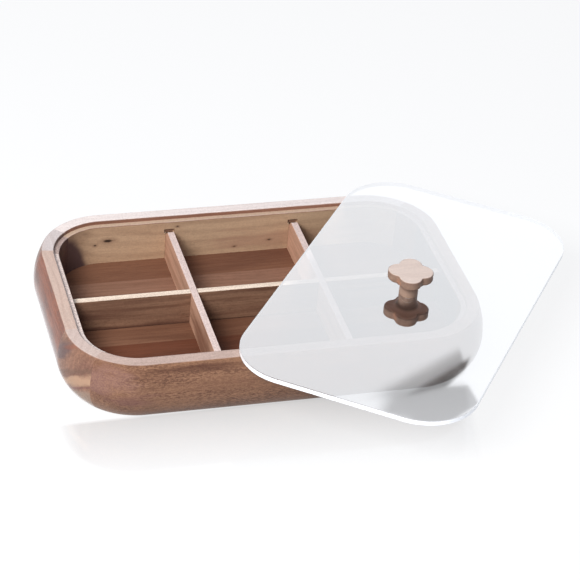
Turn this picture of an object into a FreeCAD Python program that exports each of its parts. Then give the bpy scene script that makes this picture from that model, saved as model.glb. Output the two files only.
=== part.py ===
import FreeCAD, Part
import math
import os

from FreeCAD import Vector

# A divided serving tray of solid wood with a clear drop-in lid, in millimetres.
# The origin is the centre of the tray's flat underside, +X along its length, +Z up.

# Outline of the tray from above, along the outer edge of the rim
rim_length = 306.0
rim_width = 194.0
rim_corner_radius = 50.0
tray_height = 47.5

# Outer side of the wall: it swells to a belly below the rim, then draws in to the foot
belly_height = 23.0
belly_bulge = 5.5
foot_inset = 5.0
foot_ease = 1.0

# Top of the wall: a flat rim and, inside it, the rebate that the lid drops into
rim_land = 9.0
rebate_depth = 3.0
ledge_width = 4.0
rim_ease = 0.8
ledge_ease = 0.5

# The frame's glued joints, as angles from the end wall: a mitre in each corner, and how far
# the end rails run on round the back corners
mitre_angle = 45.0
back_joint_angle = 9.0

# Floor of boards glued edge to edge, let into a rabbet under the wall
floor_thickness = 12.0
floor_rabbet = 3.0
floor_glue_gap = 0.1
board_width = 27.0
back_board_width = 29.4
narrowest_board = 15.0

# Dividers, halved over each other, with their ends in stopped grooves in the wall
divider_thickness = 5.3
divider_height = 26.25
divider_ease = 0.4
middle_bay_length = 92.3
groove_depth = 3.5
groove_side_gap = 0.15
groove_end_gap = 0.3
groove_head_height = 3.4
groove_head_depth = 1.6
groove_head_overcut = 1.4
corner_cut_from_wall = 4.7
halving_gap = 0.1

# Lid: a clear sheet that lies across the rim, off its seat and turned
lid_thickness = 4.0
lid_edge_gap = 0.5
lid_edge_ease = 0.4
lid_rest_gap = 0.1
lid_centre_x = 101.3
lid_centre_y = -44.4
lid_angle = 53.4

# Knob with a four-lobed head on a flared neck
knob_height = 19.3
knob_angle = 19.0
head_thickness = 7.2
lobe_radius = 8.4
lobe_offset = 8.2
waist_radius = 2.2
head_top_ease = 0.7
head_under_ease = 1.9
neck_radius = 7.0
neck_flare = 5.0

# Screw that holds the knob from under the lid, with its washer
screw_radius = 2.0
screw_bite = 11.0
screw_hole_gap = 0.25
pilot_gap = 0.05
screw_head_radius = 4.0
screw_head_height = 2.4
screw_head_dome = 1.0
cross_slot_width = 1.0
cross_slot_length = 4.6
cross_slot_depth = 1.3
washer_radius = 5.0
washer_thickness = 0.8

# Sizes that follow from the ones above
wall_thickness = rim_land + ledge_width
ledge_height = tray_height - rebate_depth
inner_half_length = rim_length / 2 - wall_thickness
inner_half_width = rim_width / 2 - wall_thickness
corner_centre_x = rim_length / 2 - rim_corner_radius
corner_centre_y = rim_width / 2 - rim_corner_radius
divider_top = floor_thickness + divider_height
halving_height = floor_thickness + divider_height / 2
cross_divider_x = (middle_bay_length + divider_thickness) / 2
lid_underside = tray_height + lid_rest_gap

up = Vector(0, 0, 1)
full_circle = 360.0


def turned(shape, degrees):
    """Copy of a shape turned about the vertical axis through the origin."""
    copy = shape.copy()
    copy.rotate(Vector(0, 0, 0), up, degrees)
    return copy


def moved(shape, x, y, z=0.0):
    """Copy of a shape moved by the given distances."""
    copy = shape.copy()
    copy.translate(Vector(x, y, z))
    return copy


def block(size_x, size_y, low_z, high_z):
    """Upright block centred on the origin in plan."""
    corner = Vector(-size_x / 2, -size_y / 2, low_z)
    return Part.makeBox(size_x, size_y, high_z - low_z, corner)


def section_arc(centre_x, centre_z, radius, start, end):
    """Arc in the XZ plane between two angles measured from +X towards +Z."""
    angles = [math.radians(angle) for angle in (start, (start + end) / 2, end)]
    points = [Vector(centre_x + radius * math.cos(angle), 0, centre_z + radius * math.sin(angle))
              for angle in angles]
    return Part.Arc(*points).toShape()


def section_lines(*points):
    """Straight edges in the XZ plane through the given points."""
    corners = [Vector(x, 0, z) for x, z in points]
    return [Part.makeLine(start, end) for start, end in zip(corners, corners[1:])]


def rounded_panel(length, width, radius, low_z, high_z):
    """Flat panel with round corners, centred on the origin in plan."""
    panel = block(length, width, low_z, high_z)
    uprights = [edge for edge in panel.Edges
                if abs(edge.Vertexes[0].Z - edge.Vertexes[1].Z) > (high_z - low_z) / 2]
    return panel.makeFillet(radius, uprights)


def wall_section():
    """Cross-section of the wall in the XZ plane, with X measured from a corner's centre."""
    edge = rim_corner_radius
    bulge = edge + belly_bulge

    # Two arcs that meet upright at the belly: one up to the rim, one down to the foot
    upper_rise = tray_height - belly_height
    upper_radius = (upper_rise ** 2 + belly_bulge ** 2) / (2 * belly_bulge)
    draw_in = belly_bulge + foot_inset
    lower_radius = (belly_height ** 2 + draw_in ** 2) / (2 * draw_in)
    lower_centre_x = bulge - lower_radius

    # Small round between the upper arc and the flat rim
    ease_centre_z = tray_height - rim_ease
    ease_reach = upper_radius - rim_ease
    ease_angle = math.degrees(math.asin((ease_centre_z - belly_height) / ease_reach))
    upper_centre_x = bulge - upper_radius
    ease_centre_x = upper_centre_x + ease_reach * math.cos(math.radians(ease_angle))

    # Small round between the lower arc and the flat underside
    foot_reach = lower_radius - foot_ease
    foot_angle = -math.degrees(math.asin((belly_height - foot_ease) / foot_reach))
    foot_x = lower_centre_x + foot_reach * math.cos(math.radians(foot_angle))

    rebate_x = edge - rim_land
    inner_x = edge - wall_thickness
    rabbet_x = inner_x + floor_rabbet

    outline = [
        section_arc(foot_x, foot_ease, foot_ease, -90, foot_angle),
        section_arc(lower_centre_x, belly_height, lower_radius, foot_angle, 0),
        section_arc(upper_centre_x, belly_height, upper_radius, 0, ease_angle),
        section_arc(ease_centre_x, ease_centre_z, rim_ease, ease_angle, 90),
    ]
    outline += section_lines((ease_centre_x, tray_height), (rebate_x + rim_ease, tray_height))
    outline.append(section_arc(rebate_x + rim_ease, ease_centre_z, rim_ease, 90, 180))
    outline += section_lines((rebate_x, ease_centre_z), (rebate_x, ledge_height),
                             (inner_x + ledge_ease, ledge_height))
    outline.append(section_arc(inner_x + ledge_ease, ledge_height - ledge_ease, ledge_ease, 90, 180))
    outline += section_lines((inner_x, ledge_height - ledge_ease), (inner_x, floor_thickness),
                             (rabbet_x, floor_thickness), (rabbet_x, 0), (foot_x, 0))
    return Part.Face(Part.Wire(Part.__sortEdges__(outline)))


def wall_sector(corner, start, end):
    """Wall round part of a corner, between two plan angles."""
    sweep = wall_section().revolve(Vector(0, 0, 0), up, end - start)
    return moved(turned(sweep, start), *corner)


def wall_run(corner, facing, length):
    """Straight wall that faces a plan angle and runs anticlockwise from a corner's centre."""
    run = wall_section().extrude(Vector(0, length, 0))
    return moved(turned(run, facing), *corner)


def cross_groove_cutter(centre_x):
    """Space for a cross divider's ends: a stopped groove under a wider, shallow pocket."""
    groove_top = divider_top - groove_head_height
    groove_width = divider_thickness + 2 * groove_side_gap
    groove = block(groove_width, 2 * (inner_half_width + groove_depth), floor_thickness, groove_top)
    head_width = divider_thickness + 2 * groove_head_overcut
    head = block(head_width, 2 * (inner_half_width + groove_head_depth), groove_top, divider_top)
    return moved(groove.fuse(head), centre_x, 0)


def long_groove_cutter():
    """Space for the long divider's ends."""
    reach = 2 * (inner_half_length + groove_depth)
    return block(reach, divider_thickness + 2 * groove_side_gap, floor_thickness, divider_top)


def long_rail(start_corner, end_corner, facing):
    """Front or back rail: a straight run and half of the corner at each end."""
    half_corner = 90 - mitre_angle
    pieces = [
        wall_sector(start_corner, facing - half_corner, facing),
        wall_run(start_corner, facing, 2 * corner_centre_x),
        wall_sector(end_corner, facing, facing + half_corner),
    ]
    rail = pieces[0].multiFuse(pieces[1:]).removeSplitter()
    for centre_x in (-cross_divider_x, cross_divider_x):
        rail = rail.cut(cross_groove_cutter(centre_x))
    return rail


def end_rail(run_start, facing, back_corner, curve_start):
    """End rail: a straight run and the start of its back corner, grooved for the long divider."""
    run = wall_run(run_start, facing, 2 * corner_centre_y)
    curve = wall_sector(back_corner, curve_start, curve_start + back_joint_angle)
    return run.fuse(curve).removeSplitter().cut(long_groove_cutter())


def frame_pieces():
    """The wall: two long rails, two end rails and the four corner blocks between them."""
    front_left = (-corner_centre_x, -corner_centre_y)
    front_right = (corner_centre_x, -corner_centre_y)
    back_right = (corner_centre_x, corner_centre_y)
    back_left = (-corner_centre_x, corner_centre_y)
    return {
        "front_rail": long_rail(front_left, front_right, 270),
        "back_rail": long_rail(back_right, back_left, 90),
        "left_end_rail": end_rail(back_left, 180, back_left, 180 - back_joint_angle),
        "right_end_rail": end_rail(front_right, 0, back_right, 0),
        "front_left_corner": wall_sector(front_left, 180, 180 + mitre_angle),
        "back_left_corner": wall_sector(back_left, 180 - mitre_angle, 180 - back_joint_angle),
        "front_right_corner": wall_sector(front_right, -mitre_angle, 0),
        "back_right_corner": wall_sector(back_right, back_joint_angle, mitre_angle),
    }


def board_edges(width):
    """Front-to-back positions of the boards' edges, laid out from the back of the floor."""
    edges = [width / 2, width / 2 - back_board_width]
    while edges[-1] - board_width > narrowest_board - width / 2:
        edges.append(edges[-1] - board_width)
    edges.append(-width / 2)
    return sorted(edges)


def floor_boards():
    """Boards of the floor, numbered from the front, cut from one round-cornered panel."""
    overlap = floor_rabbet - floor_glue_gap
    length = 2 * (inner_half_length + overlap)
    width = 2 * (inner_half_width + overlap)
    radius = rim_corner_radius - wall_thickness + overlap
    panel = rounded_panel(length, width, radius, 0, floor_thickness)

    boards = {}
    edges = board_edges(width)
    for number, (low, high) in enumerate(zip(edges, edges[1:]), start=1):
        strip = moved(block(length, high - low, 0, floor_thickness), 0, (low + high) / 2)
        boards["floor_board_%d" % number] = panel.common(strip)
    return boards


def divider_board(length):
    """Plain divider along X with its two long upper edges eased."""
    board = block(length, divider_thickness, floor_thickness, divider_top)
    upper_edges = [edge for edge in board.Edges
                   if edge.BoundBox.ZMin > halving_height and edge.BoundBox.XLength > length / 2]
    return board.makeFillet(divider_ease, upper_edges)


def long_divider():
    """Divider along the tray, slotted from above where the cross dividers pass over it."""
    half_length = inner_half_length + groove_depth - groove_end_gap
    board = divider_board(2 * half_length)
    slot_width = divider_thickness + 2 * halving_gap
    slot = block(slot_width, divider_thickness, halving_height - halving_gap, divider_top)
    for centre_x in (-cross_divider_x, cross_divider_x):
        board = board.cut(moved(slot, centre_x, 0))
    return board


def cross_divider(centre_x):
    """Divider across the tray, slotted from below, with its upper corners cut off."""
    in_groove = groove_depth - groove_end_gap
    half_length = inner_half_width + in_groove
    corner_cut = corner_cut_from_wall + in_groove
    board = turned(divider_board(2 * half_length), 90)

    outline = [
        Vector(-divider_thickness, half_length - corner_cut, divider_top),
        Vector(-divider_thickness, half_length, divider_top),
        Vector(-divider_thickness, half_length, divider_top - corner_cut),
    ]
    face = Part.Face(Part.makePolygon(outline + outline[:1]))
    corner = face.extrude(Vector(2 * divider_thickness, 0, 0))
    slot_width = divider_thickness + 2 * halving_gap
    slot = block(divider_thickness, slot_width, floor_thickness, halving_height)
    board = board.cut(corner).cut(turned(corner, 180)).cut(slot)
    return moved(board, centre_x, 0)


def lid_panel():
    """Clear sheet with eased edges and a hole for the knob's screw."""
    length = 2 * (rim_length / 2 - rim_land - lid_edge_gap)
    width = 2 * (rim_width / 2 - rim_land - lid_edge_gap)
    radius = rim_corner_radius - rim_land - lid_edge_gap
    sheet = rounded_panel(length, width, radius, 0, lid_thickness)
    level_edges = [edge for edge in sheet.Edges
                   if abs(edge.BoundBox.ZMax - edge.BoundBox.ZMin) < lid_thickness / 2]
    sheet = sheet.makeFillet(lid_edge_ease, level_edges)
    hole = Part.makeCylinder(screw_radius + screw_hole_gap, lid_thickness)
    return sheet.cut(hole)


def knob_head(low_z, high_z):
    """Four round lobes about a common centre, with soft waists and eased edges."""
    lobe = Part.makeCylinder(lobe_radius, high_z - low_z, Vector(lobe_offset, 0, low_z))
    lobes = [turned(lobe, quarter * 90) for quarter in range(4)]
    head = lobes[0].multiFuse(lobes[1:]).removeSplitter()

    # The lobes meet in four upright inner corners, nearer the axis than the lobes' tips
    waists = [edge for edge in head.Edges
              if edge.BoundBox.ZMax - edge.BoundBox.ZMin > (high_z - low_z) / 2
              and math.hypot(edge.Vertexes[0].X, edge.Vertexes[0].Y) < lobe_offset + lobe_radius / 2]
    head = head.makeFillet(waist_radius, waists)
    middle_z = (low_z + high_z) / 2
    top_edges = [edge for edge in head.Edges if edge.BoundBox.ZMin > middle_z]
    head = head.makeFillet(head_top_ease, top_edges)
    under_edges = [edge for edge in head.Edges if edge.BoundBox.ZMax < middle_z]
    return head.makeFillet(head_under_ease, under_edges)


def lid_knob():
    """Wooden knob: the lobed head on a neck that flares into it, bored for the screw."""
    head_low = lid_thickness + knob_height - head_thickness
    head_high = lid_thickness + knob_height
    neck_top = head_low + head_thickness / 2
    flare_low = head_low - neck_flare
    neck_edges = section_lines((neck_radius, flare_low), (neck_radius, lid_thickness),
                               (0, lid_thickness), (0, neck_top),
                               (neck_radius + neck_flare, neck_top),
                               (neck_radius + neck_flare, head_low))
    neck_edges.append(section_arc(neck_radius + neck_flare, flare_low, neck_flare, 90, 180))
    neck_face = Part.Face(Part.Wire(Part.__sortEdges__(neck_edges)))
    neck = neck_face.revolve(Vector(0, 0, 0), up, full_circle)
    pilot = Part.makeCylinder(screw_radius + pilot_gap, screw_bite + pilot_gap,
                              Vector(0, 0, lid_thickness))
    knob = knob_head(head_low, head_high).fuse(neck).removeSplitter().cut(pilot)
    return turned(knob, knob_angle)


def knob_screw():
    """Pan-head screw with a cross slot, its shank up through the lid into the knob."""
    head_top = -washer_thickness
    head_low = head_top - screw_head_height
    shank = Part.makeCylinder(screw_radius, lid_thickness + screw_bite - head_top,
                              Vector(0, 0, head_top))
    head = Part.makeCylinder(screw_head_radius, screw_head_height, Vector(0, 0, head_low))
    middle_z = (head_low + head_top) / 2
    under_edge = [edge for edge in head.Edges if edge.BoundBox.ZMax < middle_z]
    head = head.makeFillet(screw_head_dome, under_edge)
    slot = block(cross_slot_length, cross_slot_width, head_low, head_low + cross_slot_depth)
    head = head.cut(slot).cut(turned(slot, 90))
    return head.fuse(shank).removeSplitter()


def screw_washer():
    """Flat washer between the screw's head and the lid."""
    low = Vector(0, 0, -washer_thickness)
    disc = Part.makeCylinder(washer_radius, washer_thickness, low)
    return disc.cut(Part.makeCylinder(screw_radius + screw_hole_gap, washer_thickness, low))


def on_lid(shape):
    """Place a piece that was made about the centre of the lid's underside."""
    return moved(turned(shape, lid_angle), lid_centre_x, lid_centre_y, lid_underside)


def all_pieces():
    """Every separate piece of the tray and its lid, by name."""
    pieces = frame_pieces()
    pieces.update(floor_boards())
    pieces["long_divider"] = long_divider()
    pieces["left_cross_divider"] = cross_divider(-cross_divider_x)
    pieces["right_cross_divider"] = cross_divider(cross_divider_x)
    pieces["lid_panel"] = on_lid(lid_panel())
    pieces["lid_knob"] = on_lid(lid_knob())
    pieces["knob_screw"] = on_lid(knob_screw())
    pieces["screw_washer"] = on_lid(screw_washer())
    return pieces


os.makedirs("parts", exist_ok=True)
for name, shape in all_pieces().items():
    shape.exportStep("parts/%s.step" % name)
    box = shape.BoundBox
    print("%-20s solids %d valid %s volume %.0f z %.2f to %.2f"
          % (name, len(shape.Solids), shape.isValid(), shape.Volume, box.ZMin, box.ZMax))
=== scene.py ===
from math import radians

import bmesh
import bpy
from mathutils import Matrix, Vector

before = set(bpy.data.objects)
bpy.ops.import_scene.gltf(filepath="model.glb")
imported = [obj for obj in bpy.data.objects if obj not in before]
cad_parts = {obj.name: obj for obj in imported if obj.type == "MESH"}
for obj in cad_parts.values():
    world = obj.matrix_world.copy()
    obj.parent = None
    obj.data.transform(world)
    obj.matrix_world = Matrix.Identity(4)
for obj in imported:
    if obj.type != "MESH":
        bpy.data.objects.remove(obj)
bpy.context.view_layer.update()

scene = bpy.context.scene
scene.view_settings.view_transform = "Standard"


def newTree(name):
    material = bpy.data.materials.new(name)
    material.use_nodes = True
    tree = material.node_tree
    tree.nodes.clear()
    return material, tree


def addNode(tree, kind, sockets=None, **settings):
    node = tree.nodes.new(kind)
    for key, value in settings.items():
        setattr(node, key, value)
    for key, value in (sockets or {}).items():
        if isinstance(value, bpy.types.NodeSocket):
            tree.links.new(value, node.inputs[key])
        else:
            node.inputs[key].default_value = value
    return node


def calc(tree, operation, first, second=0.0, clamp=False):
    node = addNode(tree, "ShaderNodeMath", {0: first, 1: second}, operation=operation, use_clamp=clamp)
    return node.outputs[0]


def vectorCalc(tree, operation, first, second):
    return addNode(tree, "ShaderNodeVectorMath", {0: first, 1: second}, operation=operation)


def mapRange(tree, value, low, high, toLow=0.0, toHigh=1.0, kind="SMOOTHSTEP"):
    sockets = {"Value": value, "From Min": low, "From Max": high, "To Min": toLow, "To Max": toHigh}
    return addNode(tree, "ShaderNodeMapRange", sockets, interpolation_type=kind).outputs["Result"]


def mixColours(tree, factor, first, second):
    node = addNode(tree, "ShaderNodeMix", data_type="RGBA")
    for socket, value in ((0, factor), (6, first), (7, second)):
        if isinstance(value, bpy.types.NodeSocket):
            tree.links.new(value, node.inputs[socket])
        else:
            node.inputs[socket].default_value = value if socket == 0 else (*value, 1.0)
    return node.outputs[2]


def shade(tree, colour, factor):
    # a colour made lighter or darker by a number
    grey = addNode(tree, "ShaderNodeCombineXYZ", {0: factor, 1: factor, 2: factor}).outputs[0]
    return vectorCalc(tree, "MULTIPLY", colour, grey).outputs[0]


def noise(tree, vector, size, detail=2.0, roughness=0.5, offset=(0, 0, 0)):
    # size is how large the blotches are along X, Y and Z, in metres
    stretch = [1 / value for value in size]
    mapping = addNode(tree, "ShaderNodeMapping", {"Vector": vector, "Scale": stretch, "Location": offset})
    sockets = {"Vector": mapping.outputs[0], "Scale": 1.0, "Detail": detail, "Roughness": roughness}
    return addNode(tree, "ShaderNodeTexNoise", sockets).outputs["Fac"]


# Which way the grain of a piece runs, as the turn that brings it along X
grainTurns = {"x": (0, 0, 0), "y": (0, 0, radians(-90)), "z": (0, radians(90), 0),
              "rising": (radians(33.5), 0, radians(-90))}

# Heights at which the upper faces and the inner sides change from the ledge to the rim
ledgeSpan = (0.0450, 0.0462)
riserFoot = (0.0442, 0.0446)

# The wood of the rails. Lengths are in metres, colours as linear light.
railWood = {
    "grain": "x", "shift": (0.31, 0.07, 0.02), "wander": 0.006,
    "pale": (0.34, 0.17, 0.095), "dark": (0.17, 0.075, 0.045),
    "band": (0.20, 0.024, 0.024), "bandFrom": 0.42, "bandTo": 0.70,
    "line": (0.10, 0.04, 0.025), "lineWidth": 0.0042, "lineDepth": 0.18, "heart": (0, 0.03, 0.06),
    "streak": 0.25, "fibre": 0.14, "speckle": 0.05, "rays": 0.0,
    "pore": 0.6, "poreFrom": 0.55, "poreSize": (0.0036, 0.0008, 0.0008), "poreColour": (0.09, 0.038, 0.024),
    "top": (0.62, 0.46, 0.38), "topPore": 0.10, "topSpeckle": 0.07, "sandedAndSheen": 0.9, "edgeWearAndHighlight": 0.35,
    "roughness": 0.5, "specular": 0.2, "varnish": 0.5, "varnishRoughness": 0.2, "varnishIndex": 1.35,
    "turnedFrom": 0.72, "turnedTo": 0.92, "sheen": 0.0, "sheenRoughness": 0.3,
    "relief": 0.3, "knots": [], "patches": [],
}


def spotMask(tree, place, wavy, spot):
    # a soft-edged ellipsoid about a place on the piece, with its border torn along the grain;
    # "lean" is how much it rises for each step towards the front
    away = vectorCalc(tree, "SUBTRACT", place, spot["place"]).outputs[0]
    if "lean" in spot:
        parts = addNode(tree, "ShaderNodeSeparateXYZ", {0: away})
        level = vectorCalc(tree, "DOT_PRODUCT", away, (0, spot["lean"], 1)).outputs["Value"]
        away = addNode(tree, "ShaderNodeCombineXYZ",
                       {0: parts.outputs[0], 1: parts.outputs[1], 2: level}).outputs[0]
    scaled = vectorCalc(tree, "MULTIPLY", away, [1 / value for value in spot["reach"]]).outputs[0]
    distance = addNode(tree, "ShaderNodeVectorMath", {0: scaled}, operation="LENGTH").outputs["Value"]
    tear = noise(tree, wavy, spot.get("tearSize", (0.04, 0.006, 0.006)))
    push = mapRange(tree, tear, 0.2, 0.8, -spot["tear"], spot["tear"], "LINEAR")
    border = calc(tree, "ADD", distance, push)
    return mapRange(tree, border, spot["soft"], 1.0, spot["amount"], 0.0)


def flowRoundKnots(tree, place, knots):
    # the grain is pinched towards each knot, so that its lines bow out round it
    flowed = place
    for knot in knots:
        away = vectorCalc(tree, "SUBTRACT", place, knot["place"]).outputs[0]
        reach = [4.5 * value for value in knot["reach"]]
        scaled = vectorCalc(tree, "MULTIPLY", away, [1 / value for value in reach]).outputs[0]
        distance = addNode(tree, "ShaderNodeVectorMath", {0: scaled}, operation="LENGTH").outputs["Value"]
        pinch = mapRange(tree, distance, 0.0, 1.0, -0.75, 0.0)
        across = vectorCalc(tree, "MULTIPLY", away, (0, 0, 1)).outputs[0]
        push = addNode(tree, "ShaderNodeVectorMath", {0: across, "Scale": pinch}, operation="SCALE")
        flowed = vectorCalc(tree, "ADD", flowed, push.outputs[0]).outputs[0]
    return flowed


def grainPlace(tree, place, look):
    # the piece's own place turned so that its grain runs along X, with a slow waviness
    flowed = flowRoundKnots(tree, place, look["knots"])
    turned = addNode(tree, "ShaderNodeMapping", {"Vector": flowed, "Rotation": grainTurns[look["grain"]],
                                                 "Location": look["shift"]}).outputs[0]
    wander = addNode(tree, "ShaderNodeTexNoise", {"Vector": turned, "Scale": 14.0, "Detail": 1.0})
    push = vectorCalc(tree, "SUBTRACT", wander.outputs["Color"], (0.5, 0.5, 0.5)).outputs[0]
    push = addNode(tree, "ShaderNodeVectorMath", {0: push, "Scale": look["wander"]}, operation="SCALE")
    return vectorCalc(tree, "ADD", turned, push.outputs[0]).outputs[0]


def growthLines(tree, wavy, look):
    heart = addNode(tree, "ShaderNodeMapping",
                    {"Vector": wavy, "Location": look["heart"], "Scale": (0.12, 1, 1)})
    rings = addNode(tree, "ShaderNodeTexWave",
                    {"Vector": heart.outputs[0], "Scale": 0.314 / look["lineWidth"], "Distortion": 5.0,
                     "Detail": 2.0, "Detail Scale": 0.6, "Detail Roughness": 0.6},
                    wave_type="RINGS", rings_direction="X").outputs["Fac"]
    return mapRange(tree, rings, 0.35, 1.0)


def woodMaterial(name, look):
    material, tree = newTree(name)
    place = addNode(tree, "ShaderNodeTexCoord").outputs["Object"]
    normal = addNode(tree, "ShaderNodeNewGeometry").outputs["Normal"]
    upward = addNode(tree, "ShaderNodeSeparateXYZ", {0: normal}).outputs["Z"]
    height = addNode(tree, "ShaderNodeSeparateXYZ", {0: place}).outputs["Z"]
    wavy = grainPlace(tree, place, look)

    # broad bands of heartwood, on the inner side of a wall in that side's own colours
    broad = noise(tree, wavy, look["band"], detail=3.0, roughness=0.55)
    band = mapRange(tree, broad, look["bandFrom"], look["bandTo"])
    colour = mixColours(tree, band, look["pale"], look["dark"])
    flat = vectorCalc(tree, "MULTIPLY", place, (1, 1, 0)).outputs[0]
    outward = vectorCalc(tree, "DOT_PRODUCT", normal, flat).outputs["Value"]
    inside = mapRange(tree, outward, -0.02, 0.0, 1.0, 0.0)
    if "inner" in look:
        below = mapRange(tree, height, look["inner"]["below"] - 0.0004, look["inner"]["below"], 1.0, 0.0)
        innerTone = mixColours(tree, band, look["inner"]["pale"], look["inner"]["dark"])
        colour = mixColours(tree, calc(tree, "MULTIPLY", inside, below), colour, innerTone)

    # growth lines, narrow streaks and fibres
    lines = calc(tree, "MULTIPLY", growthLines(tree, wavy, look), look["lineDepth"])
    colour = mixColours(tree, lines, colour, look["line"])
    streaks = noise(tree, wavy, (0.07, 0.0028, 0.0028), offset=(5, 2, 9))
    colour = mixColours(tree, mapRange(tree, streaks, 0.5, 0.8, 0.0, look["streak"]), colour, look["line"])
    fibre = noise(tree, wavy, (0.022, 0.0011, 0.0011), roughness=0.6)
    fine = look["fibre"]
    colour = shade(tree, colour, mapRange(tree, fibre, 0.25, 0.75, 1 + fine, 1 - fine, "LINEAR"))

    # short open pores, thicker in some parts of the board than in others
    poreNoise = noise(tree, wavy, look["poreSize"], detail=2.0, roughness=0.6, offset=(3, 7, 1))
    crowd = mapRange(tree, noise(tree, wavy, (0.06, 0.012, 0.012), offset=(8, 1, 4)), 0.3, 0.65, 0.3, 1.0)
    pores = mapRange(tree, poreNoise, look["poreFrom"], look["poreFrom"] + 0.07)
    pores = calc(tree, "MULTIPLY", pores, crowd)
    colour = mixColours(tree, calc(tree, "MULTIPLY", pores, look["pore"]), colour, look["poreColour"])

    # fine speckle of cut fibres, stronger on the upper faces
    dots = noise(tree, place, (0.0011, 0.0011, 0.0011), detail=1.0, offset=(2, 6, 4))
    fine = look["speckle"]
    colour = shade(tree, colour, mapRange(tree, dots, 0.35, 0.65, 1 + fine, 1 - fine, "LINEAR"))

    if look["rays"]:
        # light shimmer across the grain, as upright streaks
        shimmer = noise(tree, place, (0.0022, 0.0022, 0.03), detail=1.0)
        rays = mapRange(tree, shimmer, 0.35, 0.7, 1 - look["rays"], 1 + look["rays"], "LINEAR")
        colour = shade(tree, colour, rays)

    for patch in look["patches"]:
        mask = spotMask(tree, place, wavy, patch)
        if patch.get("innerSide"):
            mask = calc(tree, "MULTIPLY", mask, inside)
        colour = mixColours(tree, mask, colour, patch["colour"])
    for knot in look["knots"]:
        halo = dict(knot, reach=[2.6 * value for value in knot["reach"]], soft=0.1, amount=0.4)
        colour = mixColours(tree, spotMask(tree, place, wavy, halo), colour, look["line"])
        colour = mixColours(tree, spotMask(tree, place, wavy, knot), colour, knot["colour"])

    if "riser" in look:
        # the low step between the rim and the ledge, in a colour of its own that paints light and shade onto
        # it
        above = mapRange(tree, height, *riserFoot)
        colour = mixColours(tree, calc(tree, "MULTIPLY", inside, above), colour, look["riser"])

    # the upper faces are paler and more even: partly sanded wood, partly a painted sheen and top light; the
    # eased upper edges are paler still, partly worn, partly a painted highlight
    sandedAndSheen = calc(tree, "MULTIPLY", mapRange(tree, upward, 0.75, 0.98), mapRange(tree, height, 0.020, 0.026))
    topTone = shade(tree, look["top"], mapRange(tree, fibre, 0.25, 0.75, 1.05, 0.95, "LINEAR"))
    topTone = mixColours(tree, calc(tree, "MULTIPLY", lines, 0.6), topTone, look["pale"])
    topTone = mixColours(tree, calc(tree, "MULTIPLY", pores, look["topPore"]), topTone, look["poreColour"])
    # the ledge in a colour of its own; on the end rails and corner blocks it is painted lighter, as painted
    # light against the shadow of the step
    if "ledge" in look:
        onLedge = mapRange(tree, height, *ledgeSpan, 1.0, 0.0)
        topTone = mixColours(tree, onLedge, topTone, look["ledge"]["colour"])
        fine = mapRange(tree, height, *ledgeSpan, look["ledge"]["speckle"], look["topSpeckle"])
    else:
        fine = look["topSpeckle"]
    spread = mapRange(tree, dots, 0.35, 0.65, 1.0, -1.0, "LINEAR")
    topTone = shade(tree, topTone, addNode(tree, "ShaderNodeMath", {0: spread, 1: fine, 2: 1.0},
                                           operation="MULTIPLY_ADD").outputs[0])
    colour = mixColours(tree, calc(tree, "MULTIPLY", sandedAndSheen, look["sandedAndSheen"]), colour, topTone)
    # the eased upper edges made paler: partly edge wear, partly a painted highlight
    eased = calc(tree, "MULTIPLY", mapRange(tree, upward, 0.4, 0.6),
                 mapRange(tree, upward, 0.8, 0.97, 1.0, 0.0))
    rub = mapRange(tree, noise(tree, place, (0.02, 0.02, 0.02)), 0.35, 0.65, 0.3, 1.0)
    worn = calc(tree, "MULTIPLY", calc(tree, "MULTIPLY", eased, rub), look["edgeWearAndHighlight"])
    colour = mixColours(tree, worn, colour, look["top"])
    # downward faces painted lighter, as painted light in their shade
    if "under" in look:
        colour = mixColours(tree, mapRange(tree, upward, -0.9, -0.5, 1.0, 0.0), colour, look["under"])

    roughness = mapRange(tree, fibre, 0.3, 0.7, look["roughness"] - 0.06, look["roughness"] + 0.08)
    relief = calc(tree, "SUBTRACT", calc(tree, "MULTIPLY", fibre, 0.5), pores)
    bump = addNode(tree, "ShaderNodeBump", {"Strength": look["relief"], "Distance": 0.0002, "Height": relief})
    varnish = look["varnish"]
    if "silhouette" in look:
        # the varnish shows most where the surface turns away
        facing = addNode(tree, "ShaderNodeLayerWeight", {"Blend": 0.5}).outputs["Facing"]
        varnish = mapRange(tree, facing, look["turnedFrom"], look["turnedTo"],
                           varnish, look["silhouette"])
    shader = addNode(tree, "ShaderNodeBsdfPrincipled",
                     {"Base Color": colour, "Roughness": roughness, "Normal": bump.outputs[0],
                      "Specular IOR Level": look["specular"], "Coat Weight": varnish,
                      "Coat Roughness": look["varnishRoughness"], "Coat IOR": look["varnishIndex"],
                      "Sheen Weight": look["sheen"], "Sheen Roughness": look["sheenRoughness"]})
    addNode(tree, "ShaderNodeOutputMaterial", {"Surface": shader.outputs[0]})
    return material


frontRailWood = dict(
    railWood, shift=(0.11, 0.02, 0.43), pale=(0.235, 0.120, 0.068), dark=(0.165, 0.078, 0.045), pore=0.75,
    poreFrom=0.48, poreSize=(0.0032, 0.00075, 0.00075), poreColour=(0.088, 0.037, 0.024),
    lineDepth=0.08, speckle=0.10, varnish=0.2, top=(0.54, 0.40, 0.34), topPore=0.25, patches=[
        # dark streaks under the rim, a purple-pink corner and a darker foot
        {"place": (-0.070, -0.100, 0.0425), "reach": (0.050, 0.02, 0.0030), "tear": 0.5, "soft": 0.3,
         "amount": 0.65, "colour": (0.08, 0.032, 0.020)},
        {"place": (-0.138, -0.090, 0.034), "reach": (0.042, 0.03, 0.018), "tear": 0.5, "soft": 0.1,
         "amount": 0.40, "colour": (0.27, 0.145, 0.125)},
        {"place": (-0.120, -0.098, 0.020), "reach": (0.034, 0.02, 0.0075), "tear": 0.4, "soft": 0.1,
         "amount": 0.65, "colour": (0.135, 0.060, 0.052)},
    ])
knotCore = {"tear": 0.25, "soft": 0.35, "amount": 0.95, "colour": (0.02, 0.012, 0.01)}
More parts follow.
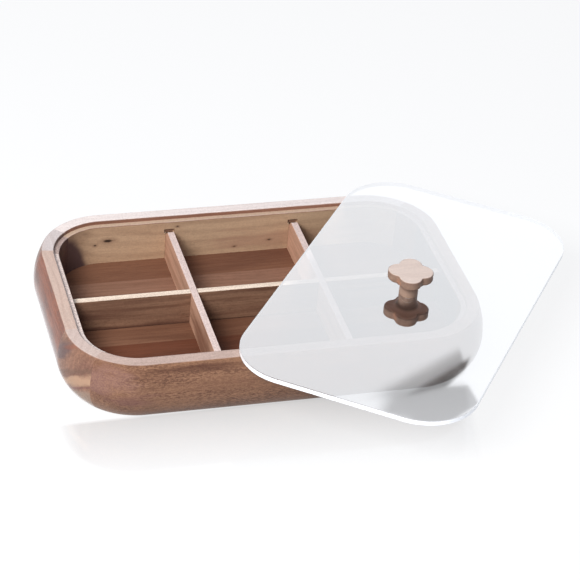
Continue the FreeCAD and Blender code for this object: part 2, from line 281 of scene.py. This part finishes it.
backRailWood = dict(
    railWood, shift=(0.51, 0.32, 0.13), pale=(0.30, 0.145, 0.095), dark=(0.19, 0.085, 0.055),
    # its upper faces are painted near white: a painted sheen of the bright light behind the tray
    top=(0.92, 0.81, 0.75), pore=0.12, streak=0.10, fibre=0.06, lineDepth=0.12,
    ledge={"colour": (0.58, 0.42, 0.30), "speckle": 0.08},
    inner={"pale": (0.49, 0.325, 0.205), "dark": (0.39, 0.245, 0.152), "below": 0.0442}, patches=[
        # dark wood at the left end with a painted shadow of the end wall over it, a darker zone low in the
        # middle, and painted shade in the two pockets over the dividers' ends
        {"place": (-0.150, 0.079, 0.0), "reach": (0.0405, 0.05, 0.0560), "tear": 0.02, "soft": 0.86,
         "amount": 0.96, "colour": (0.080, 0.047, 0.048), "innerSide": True},
        {"place": (0.025, 0.084, 0.022), "reach": (0.060, 0.05, 0.011), "tear": 0.8, "soft": 0.1,
         "amount": 0.45, "colour": (0.34, 0.185, 0.125), "innerSide": True},
        {"place": (-0.0488, 0.0866, 0.0365), "reach": (0.006, 0.0019, 0.004), "tear": 0.1, "soft": 0.7,
         "amount": 0.85, "colour": (0.20, 0.10, 0.065)},
        {"place": (0.0488, 0.0866, 0.0365), "reach": (0.006, 0.0019, 0.004), "tear": 0.1, "soft": 0.7,
         "amount": 0.85, "colour": (0.20, 0.10, 0.065)},
    ], knots=[
        dict(knotCore, place=(-0.0964, 0.084, 0.0317), reach=(0.0042, 0.003, 0.0016)),
        dict(knotCore, place=(-0.1062, 0.084, 0.0285), reach=(0.0014, 0.003, 0.0009), amount=0.8),
        dict(knotCore, place=(-0.0425, 0.084, 0.0401), reach=(0.0012, 0.003, 0.0008), amount=0.7),
        dict(knotCore, place=(0.0034, 0.084, 0.0175), reach=(0.0014, 0.003, 0.0007), amount=0.6),
        dict(knotCore, place=(0.0309, 0.084, 0.0213), reach=(0.0016, 0.003, 0.0008), amount=0.7),
    ])
endRailWood = dict(
    railWood, grain="y", shift=(0.2, 0.4, 0.3), pale=(0.215, 0.060, 0.023), dark=(0.12, 0.038, 0.021),
    band=(0.03, 0.010, 0.010), pore=0.45, speckle=0.12, top=(0.61, 0.45, 0.365), varnish=0.25,
    # riser and ledge painted lighter than this wood, as painted light against the shadow of the step
    silhouette=1.0, varnishIndex=1.9, sheen=0.28, riser=(0.42, 0.30, 0.25),
    ledge={"colour": (0.70, 0.58, 0.52), "speckle": 0.26},
    # its inner side is dark purple-brown: partly dark heartwood, partly painted shade
    inner={"pale": (0.070, 0.038, 0.040), "dark": (0.050, 0.028, 0.032), "below": 0.0442}, patches=[
        # a painted sheen: a pale lilac-grey zone low on the outer face
        {"place": (-0.158, 0.0, 0.008), "reach": (0.03, 0.075, 0.019), "tear": 0.3, "soft": 0.3,
         "amount": 0.6, "colour": (0.20, 0.145, 0.145)},
    ])
cornerWood = dict(
    railWood, grain="y", shift=(0.7, 0.1, 0.2), pale=(0.23, 0.115, 0.072), dark=(0.13, 0.060, 0.043),
    # riser and ledge painted lighter than this wood, as painted light against the shadow of the step
    top=(0.60, 0.47, 0.41), rays=0.12, riser=(0.36, 0.25, 0.21),
    ledge={"colour": (0.70, 0.59, 0.54), "speckle": 0.22})
# Across the front left block the grain rises towards the front: from the foot up a grey-beige zone, a dark
# red line, sapwood, a speckled band, a tan zone, and dark heartwood at the end rail
zone = {"place": (-0.150, -0.0608, 0.0), "reach": (0.04, 0.06, 0.005), "lean": 0.67, "tear": 0.2, "soft": 0.6}
frontLeftCornerWood = dict(
    cornerWood, grain="rising", varnish=0.3, silhouette=0.9, varnishIndex=1.7, sheen=0.15,
    pale=(0.23, 0.115, 0.072), dark=(0.15, 0.068, 0.046), patches=[
        dict(zone, place=(-0.150, -0.0608, -0.002), reach=(0.04, 0.06, 0.008), amount=0.8,
             colour=(0.25, 0.165, 0.115)),
        dict(zone, place=(-0.150, -0.0608, 0.0130), reach=(0.04, 0.06, 0.0066), amount=0.85, tear=0.45,
             soft=0.35, colour=(0.39, 0.235, 0.145)),
        dict(zone, place=(-0.150, -0.0608, 0.0072), reach=(0.04, 0.06, 0.0016), tear=0.4, soft=0.2,
             amount=0.8, colour=(0.16, 0.062, 0.048)),
        dict(zone, place=(-0.150, -0.0608, 0.0212), reach=(0.04, 0.06, 0.0030), tear=0.4, soft=0.3,
             amount=0.55, colour=(0.13, 0.070, 0.045)),
        dict(zone, place=(-0.157, -0.0560, 0.0370), reach=(0.014, 0.014, 0.0105), tear=0.3, soft=0.4,
             amount=0.9, colour=(0.10, 0.055, 0.050)),
        dict(zone, place=(-0.152, -0.0640, 0.0445), reach=(0.014, 0.016, 0.0030), tear=0.4, soft=0.3,
             amount=0.6, colour=(0.20, 0.065, 0.036)),
    ])
# The back left block's riser, ledge and inner side are dark: partly dark heartwood, partly painted shade of
# the corner
backLeftCornerWood = dict(
    cornerWood, shift=(0.3, 0.2, 0.8), top=(0.66, 0.58, 0.55), riser=(0.13, 0.07, 0.05),
    ledge={"colour": (0.42, 0.31, 0.27), "speckle": 0.22},
    inner={"pale": (0.080, 0.044, 0.046), "dark": (0.060, 0.034, 0.037), "below": 0.0470})
floorWood = dict(railWood, sandedAndSheen=0.0, edgeWearAndHighlight=0.0, pore=0.25, fibre=0.10, speckle=0.03, specular=0.12,
                 varnish=0.0, lineDepth=0.15)
dividerWood = dict(
    railWood, shift=(0.8, 0.5, 0.6), pale=(0.245, 0.135, 0.084), dark=(0.14, 0.068, 0.045),
    band=(0.12, 0.007, 0.007), streak=0.5, pore=0.4, top=(0.90, 0.74, 0.59), topSpeckle=0.12, specular=0.2,
    varnish=0.1, patches=[
        # painted shadow in the crease where the divider meets the floor
        {"place": (0, 0, 0.0121), "reach": (0.5, 0.01, 0.0010), "tear": 0.3, "soft": 0.4, "amount": 0.7,
         "colour": (0.035, 0.016, 0.012)},
    ])
crossDividerWood = dict(
    dividerWood, grain="y", shift=(0.4, 0.9, 0.2), pale=(0.58, 0.34, 0.230), dark=(0.45, 0.245, 0.160),
    streak=0.12, pore=0.15, fibre=0.08, lineDepth=0.10, top=(0.72, 0.58, 0.53), topSpeckle=0.14, patches=[])
leftCrossDividerWood = dict(crossDividerWood, patches=[
    # painted shade over the front half of the divider
    {"place": (-0.0515, -0.050, 0.018), "reach": (0.01, 0.060, 0.028), "tear": 0.4, "soft": 0.2,
     "amount": 0.9, "colour": (0.22, 0.105, 0.066)},
])
knobWood = dict(
    railWood, shift=(0.9, 0.3, 0.5), pale=(0.30, 0.19, 0.135), dark=(0.22, 0.135, 0.10), pore=0.0,
    lineDepth=0.10, streak=0.12, top=(0.76, 0.62, 0.535), topPore=0.0, topSpeckle=0.03, relief=0.1,
    # the underside is painted lighter, as painted light in its shade
    varnish=0.1, under=(0.66, 0.38, 0.28), patches=[
        {"place": (0.0905, -0.0520, 0.0665), "reach": (0.004, 0.004, 0.0035), "tear": 0.3, "soft": 0.2,
         "amount": 0.5, "colour": (0.55, 0.24, 0.13)},
        # the neck painted lighter, as painted light in the head's shadow
        {"place": (0.1013, -0.0444, 0.0550), "reach": (0.012, 0.012, 0.0085), "tear": 0.1, "soft": 0.5,
         "amount": 0.6, "colour": (0.46, 0.31, 0.23)},
    ])

# Clear sheet of the lid: its upper face mirrors the room, more so at a flat angle, and its cut edge is given
# a painted glow
clearSheet = {
    "straight": 0.08, "grazing": 1.0, "power": 0.70, "under": 0.08, "middle": 0.0496, "roughness": 0.015,
    "tint": (0.90, 0.90, 0.91), "mirror": (0.948, 0.968, 1.0),
    "edge": (0.88, 0.89, 0.90), "edgePaintedGlow": 0.11, "edgeRoughness": 0.25, "edgeAmount": 0.85,
}


def clearMaterial(name, look):
    material, tree = newTree(name)
    facing = addNode(tree, "ShaderNodeLayerWeight", {"Blend": 0.5}).outputs["Facing"]
    shine = calc(tree, "MULTIPLY", calc(tree, "POWER", facing, look["power"]), look["grazing"])
    shine = calc(tree, "ADD", shine, look["straight"], clamp=True)
    place = addNode(tree, "ShaderNodeTexCoord").outputs["Object"]
    height = addNode(tree, "ShaderNodeSeparateXYZ", {0: place}).outputs["Z"]
    upper = mapRange(tree, height, look["middle"] - 0.001, look["middle"] + 0.001, look["under"], 1.0)
    shine = calc(tree, "MULTIPLY", shine, upper)
    clear = addNode(tree, "ShaderNodeBsdfTransparent", {"Color": (*look["tint"], 1)})
    smear = noise(tree, place, (0.03, 0.03, 0.03), detail=3.0)
    roughness = mapRange(tree, smear, 0.3, 0.7, look["roughness"], look["roughness"] * 2)
    mirror = addNode(tree, "ShaderNodeBsdfGlossy", {"Color": (*look["mirror"], 1), "Roughness": roughness})
    face = addNode(tree, "ShaderNodeMixShader", {0: shine, 1: clear.outputs[0], 2: mirror.outputs[0]})

    normal = addNode(tree, "ShaderNodeNewGeometry").outputs["Normal"]
    upward = addNode(tree, "ShaderNodeSeparateXYZ", {0: normal}).outputs["Z"]
    rim = mapRange(tree, calc(tree, "ABSOLUTE", upward), 0.05, 0.35, look["edgeAmount"], 0.0)
    # the cut edge, light grey with a painted glow
    edge = addNode(tree, "ShaderNodeBsdfPrincipled",
                   {"Base Color": (*look["edge"], 1), "Roughness": look["edgeRoughness"],
                    "Emission Color": (1, 1, 1, 1), "Emission Strength": look["edgePaintedGlow"]})
    whole = addNode(tree, "ShaderNodeMixShader", {0: rim, 1: face.outputs[0], 2: edge.outputs[0]})
    addNode(tree, "ShaderNodeOutputMaterial", {"Surface": whole.outputs[0]})
    return material


screwSteel = {"colour": (0.56, 0.56, 0.58), "worn": (0.40, 0.39, 0.38), "roughness": 0.32}


def steelMaterial(name, look):
    material, tree = newTree(name)
    place = addNode(tree, "ShaderNodeTexCoord").outputs["Object"]
    patches = noise(tree, place, (0.0014, 0.0014, 0.0014), detail=3.0)
    colour = mixColours(tree, mapRange(tree, patches, 0.35, 0.7), look["colour"], look["worn"])
    roughness = mapRange(tree, patches, 0.3, 0.7, look["roughness"] - 0.08, look["roughness"] + 0.12)
    turned = noise(tree, place, (0.0033, 0.0033, 0.00025), detail=1.0)
    bump = addNode(tree, "ShaderNodeBump", {"Strength": 0.15, "Distance": 0.0001, "Height": turned})
    shader = addNode(tree, "ShaderNodeBsdfPrincipled",
                     {"Base Color": colour, "Metallic": 1.0, "Roughness": roughness,
                      "Normal": bump.outputs[0]})
    addNode(tree, "ShaderNodeOutputMaterial", {"Surface": shader.outputs[0]})
    return material


washerFibre = {"colour": (0.055, 0.025, 0.018), "fleck": (0.11, 0.05, 0.035), "roughness": 0.7}


def fibreMaterial(name, look):
    material, tree = newTree(name)
    place = addNode(tree, "ShaderNodeTexCoord").outputs["Object"]
    flecks = noise(tree, place, (0.0006, 0.0006, 0.0003), detail=3.0)
    colour = mixColours(tree, mapRange(tree, flecks, 0.45, 0.7), look["colour"], look["fleck"])
    roughness = mapRange(tree, flecks, 0.3, 0.7, look["roughness"] - 0.1, look["roughness"] + 0.1)
    bump = addNode(tree, "ShaderNodeBump", {"Strength": 0.3, "Distance": 0.0001, "Height": flecks})
    shader = addNode(tree, "ShaderNodeBsdfPrincipled",
                     {"Base Color": colour, "Roughness": roughness, "Normal": bump.outputs[0]})
    addNode(tree, "ShaderNodeOutputMaterial", {"Surface": shader.outputs[0]})
    return material


finishes = {
    "front_rail": woodMaterial("frontRailWood", frontRailWood),
    "back_rail": woodMaterial("backRailWood", backRailWood),
    "left_end_rail": woodMaterial("leftEndRailWood", endRailWood),
    "right_end_rail": woodMaterial("rightEndRailWood", dict(endRailWood, shift=(0.6, 0.2, 0.9))),
    "front_left_corner": woodMaterial("frontLeftCornerWood", frontLeftCornerWood),
    "front_right_corner": woodMaterial("frontRightCornerWood", dict(cornerWood, shift=(0.1, 0.6, 0.3))),
    "back_left_corner": woodMaterial("backLeftCornerWood", backLeftCornerWood),
    "back_right_corner": woodMaterial("backRightCornerWood", dict(cornerWood, shift=(0.5, 0.8, 0.1))),
    "long_divider": woodMaterial("longDividerWood", dividerWood),
    "left_cross_divider": woodMaterial("leftCrossDividerWood", leftCrossDividerWood),
    "right_cross_divider": woodMaterial("rightCrossDividerWood",
                                        dict(crossDividerWood, shift=(0.1, 0.5, 0.7))),
    "lid_panel": clearMaterial("clearSheet", clearSheet),
    "lid_knob": woodMaterial("knobWood", knobWood),
    "knob_screw": steelMaterial("screwSteel", screwSteel),
    "screw_washer": fibreMaterial("washerFibre", washerFibre),
}

# Each floor board has its own brown, given from the front of the tray to its back
boardTones = [
    {"pale": (0.14, 0.055, 0.034), "dark": (0.09, 0.035, 0.022)},
    {"pale": (0.15, 0.052, 0.028), "dark": (0.10, 0.036, 0.020)},
    {"pale": (0.22, 0.105, 0.062), "dark": (0.14, 0.062, 0.036)},
    {"pale": (0.20, 0.10, 0.065), "dark": (0.12, 0.058, 0.038)},
    {"pale": (0.26, 0.135, 0.088), "dark": (0.18, 0.088, 0.055)},
    {"pale": (0.19, 0.088, 0.052), "dark": (0.135, 0.058, 0.036)},
]
for number, tones in enumerate(boardTones, start=1):
    look = dict(floorWood, shift=(0.37 * number, 0.19 * number, 0.11), **tones)
    finishes["floor_board_%d" % number] = woodMaterial("floorBoardWood%d" % number, look)

for name, material in finishes.items():
    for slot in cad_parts[name].material_slots:
        slot.material = material
print("finishes: %d pieces" % len(finishes))


# White table: camera and mirror rays see it near white, so that only a faint shadow and mirror image stay.
# It mirrors in front of the tray only, less and less away from it; "gloss" gives that area's corners and
# how far its strength takes to rise inwards from each side, from the near left corner round to the right.
table = {
    "size": 8.0, "drop": 0.0003, "colour": 0.85, "shown": 0.17, "lift": 0.83,
    "shine": 0.29, "roughness": 0.10,
    "gloss": {"corners": [(-0.181, -0.172), (0.121, -0.1835), (0.140, -0.086), (-0.170, -0.092)],
              "feathers": (0.086, 0.005, 0.004, 0.020)},
}


def glossMask(tree, place, look):
    corners = [Vector((*corner, 0)) for corner in look["corners"]]
    mask = 1.0
    for start, end, feather in zip(corners, corners[1:] + corners[:1], look["feathers"]):
        inward = Vector((0, 0, 1)).cross(end - start).normalized()
        offset = vectorCalc(tree, "DOT_PRODUCT", place, inward).outputs["Value"]
        level = inward.dot(start)
        mask = calc(tree, "MULTIPLY", mapRange(tree, offset, level, level + feather, kind="LINEAR"), mask)
    return mask


def makeTable(look):
    mesh = bpy.data.meshes.new("table")
    shape = bmesh.new()
    bmesh.ops.create_grid(shape, x_segments=1, y_segments=1, size=look["size"] / 2)
    bmesh.ops.translate(shape, verts=shape.verts, vec=(0, 0, -look["drop"]))
    shape.to_mesh(mesh)
    shape.free()
    top = bpy.data.objects.new("table", mesh)
    scene.collection.objects.link(top)
    material, tree = newTree("whiteTable")
    path = addNode(tree, "ShaderNodeLightPath")
    shown = calc(tree, "MAXIMUM", path.outputs["Is Camera Ray"], path.outputs["Is Glossy Ray"])
    grey = mapRange(tree, shown, 0.0, 1.0, look["colour"], look["shown"], "LINEAR")
    colour = addNode(tree, "ShaderNodeCombineColor", {0: grey, 1: grey, 2: grey}).outputs[0]
    matte = addNode(tree, "ShaderNodeBsdfDiffuse", {"Color": colour})
    gloss = addNode(tree, "ShaderNodeBsdfGlossy", {"Color": (1, 1, 1, 1), "Roughness": look["roughness"]})
    place = addNode(tree, "ShaderNodeTexCoord").outputs["Object"]
    shine = calc(tree, "MULTIPLY", glossMask(tree, place, look["gloss"]), look["shine"])
    surface = addNode(tree, "ShaderNodeMixShader", {0: shine, 1: matte.outputs[0], 2: gloss.outputs[0]})
    lift = calc(tree, "MULTIPLY", shown, calc(tree, "SUBTRACT", look["lift"], shine))
    lift = addNode(tree, "ShaderNodeEmission", {"Color": (1, 1, 1, 1), "Strength": lift})
    whole = addNode(tree, "ShaderNodeAddShader", {0: surface.outputs[0], 1: lift.outputs[0]})
    addNode(tree, "ShaderNodeOutputMaterial", {"Surface": whole.outputs[0]})
    mesh.materials.append(material)


# The room: white to the camera, a soft fill that comes more from the left, and what shiny faces mirror:
# a bright screen behind the tray, and grey cards
room = {
    "bright": 0.38, "dim": 0.21, "brightSide": (-0.78, -0.40, 0.48), "fillTint": (0.88, 0.98, 1.22),
    "fillSpread": (-0.4, 0.9), "screenSpread": (0.2, 0.5),
    "screen": 1.19, "screenSide": (0.30, 0.95, 0.0), "walls": 0.60,
    # grey cards that the lid's near right corner mirrors, by their corners' azimuth and elevation
    "cards": [
        {"tone": 0.60, "corners": [(20.60, 36.63), (23.13, 35.15), (23.39, 35.57),
                                   (22.90, 36.08), (22.26, 36.33)],
         "feathers": (0.35, 0.1, 0.1, 0.1, 0.2)},
        {"tone": 0.49, "corners": [(20.96, 36.94), (21.24, 36.36), (22.90, 36.08), (23.53, 35.97),
                                   (23.95, 36.40), (22.87, 37.13)],
         "feathers": (0.5, 0.1, 0.1, 0.1, 0.1, 0.1)},
        {"tone": 0.12, "corners": [(21.62, 36.50), (23.47, 35.30), (23.39, 35.57), (22.90, 36.08)],
         "feathers": (0.15, 0.1, 0.1, 0.1)},
    ],
}


def cardMask(tree, toward, card):
    # 1 where a mirrored ray meets the card; each side is a plane through the middle of the room
    corners = []
    for azimuth, elevation in card["corners"]:
        turn = Matrix.Rotation(radians(-azimuth), 3, "Z") @ Matrix.Rotation(radians(elevation), 3, "X")
        corners.append(turn @ Vector((0, 1, 0)))
    middle = sum(corners, Vector()) / len(corners)
    mask = 1.0
    for start, end, feather in zip(corners, corners[1:] + corners[:1], card["feathers"]):
        side = start.cross(end).normalized()
        if side.dot(middle) < 0:
            side.negate()
        offset = vectorCalc(tree, "DOT_PRODUCT", toward, side).outputs["Value"]
        reach = radians(feather) / 2
        mask = calc(tree, "MULTIPLY", mapRange(tree, offset, -reach, reach), mask)
    return mask


def makeRoom(look):
    world = bpy.data.worlds.new("room")
    scene.world = world
    world.use_nodes = True
    tree = world.node_tree
    tree.nodes.clear()
    path = addNode(tree, "ShaderNodeLightPath")
    direct = calc(tree, "MAXIMUM", path.outputs["Is Camera Ray"], path.outputs["Is Transmission Ray"])
    toward = addNode(tree, "ShaderNodeTexCoord").outputs["Generated"]
    side = vectorCalc(tree, "DOT_PRODUCT", toward, look["brightSide"]).outputs["Value"]
    fill = mapRange(tree, side, *look["fillSpread"], look["dim"], look["bright"])
    behind = vectorCalc(tree, "DOT_PRODUCT", toward, look["screenSide"]).outputs["Value"]
    mirrored = mapRange(tree, behind, *look["screenSpread"], look["walls"], look["screen"])
    for card in look["cards"]:
        mask = cardMask(tree, toward, card)
        mirrored = addNode(tree, "ShaderNodeMix", {0: mask, 2: mirrored, 3: card["tone"]}).outputs[0]
    glossy = path.outputs["Is Glossy Ray"]
    strength = addNode(tree, "ShaderNodeMix", {0: glossy, 2: fill, 3: mirrored}).outputs[0]
    strength = addNode(tree, "ShaderNodeMix", {0: direct, 2: strength, 3: 1.0}).outputs[0]
    seen = calc(tree, "MAXIMUM", direct, glossy)
    tint = mixColours(tree, seen, look["fillTint"], (1, 1, 1))
    background = addNode(tree, "ShaderNodeBackground", {"Color": tint, "Strength": strength})
    addNode(tree, "ShaderNodeOutputWorld", {"Surface": background.outputs[0]})


keyLamp = {"place": (-0.83, -0.83, 1.10), "size": (0.80, 0.60), "power": 32}


def makeLamp(name, look):
    light = bpy.data.lights.new(name, "AREA")
    light.shape = "RECTANGLE"
    light.size, light.size_y = look["size"]
    light.energy = look["power"]
    lamp = bpy.data.objects.new(name, light)
    scene.collection.objects.link(lamp)
    place = Vector(look["place"])
    turn = (-place).to_track_quat("-Z", "Y").to_matrix()
    lamp.matrix_world = Matrix.Translation(place) @ turn.to_4x4()
    lamp.visible_camera = False
    lamp.visible_glossy = False        # no hard spot of it in the varnish


makeTable(table)
makeRoom(room)
makeLamp("keyLamp", keyLamp)
print("table, room and lamp")

view = {"place": (-0.40847, -1.34800, 0.99265), "lens": 142.84,
        "turn": -17.8204, "tilt": 34.1690, "roll": 5.3045, "sensor": 36, "clipStart": 0.05}


def makeCamera(look):
    data = bpy.data.cameras.new("camera")
    data.sensor_width = look["sensor"]
    data.lens = look["lens"]
    data.clip_start = look["clipStart"]
    camera = bpy.data.objects.new("camera", data)
    scene.collection.objects.link(camera)
    turn = Matrix.Rotation(radians(look["turn"]), 3, "Z")
    turn = turn @ Matrix.Rotation(radians(90 - look["tilt"]), 3, "X")
    turn = turn @ Matrix.Rotation(radians(look["roll"]), 3, "Z")
    camera.matrix_world = Matrix.Translation(look["place"]) @ turn.to_4x4()
    scene.camera = camera


makeCamera(view)
print("camera")
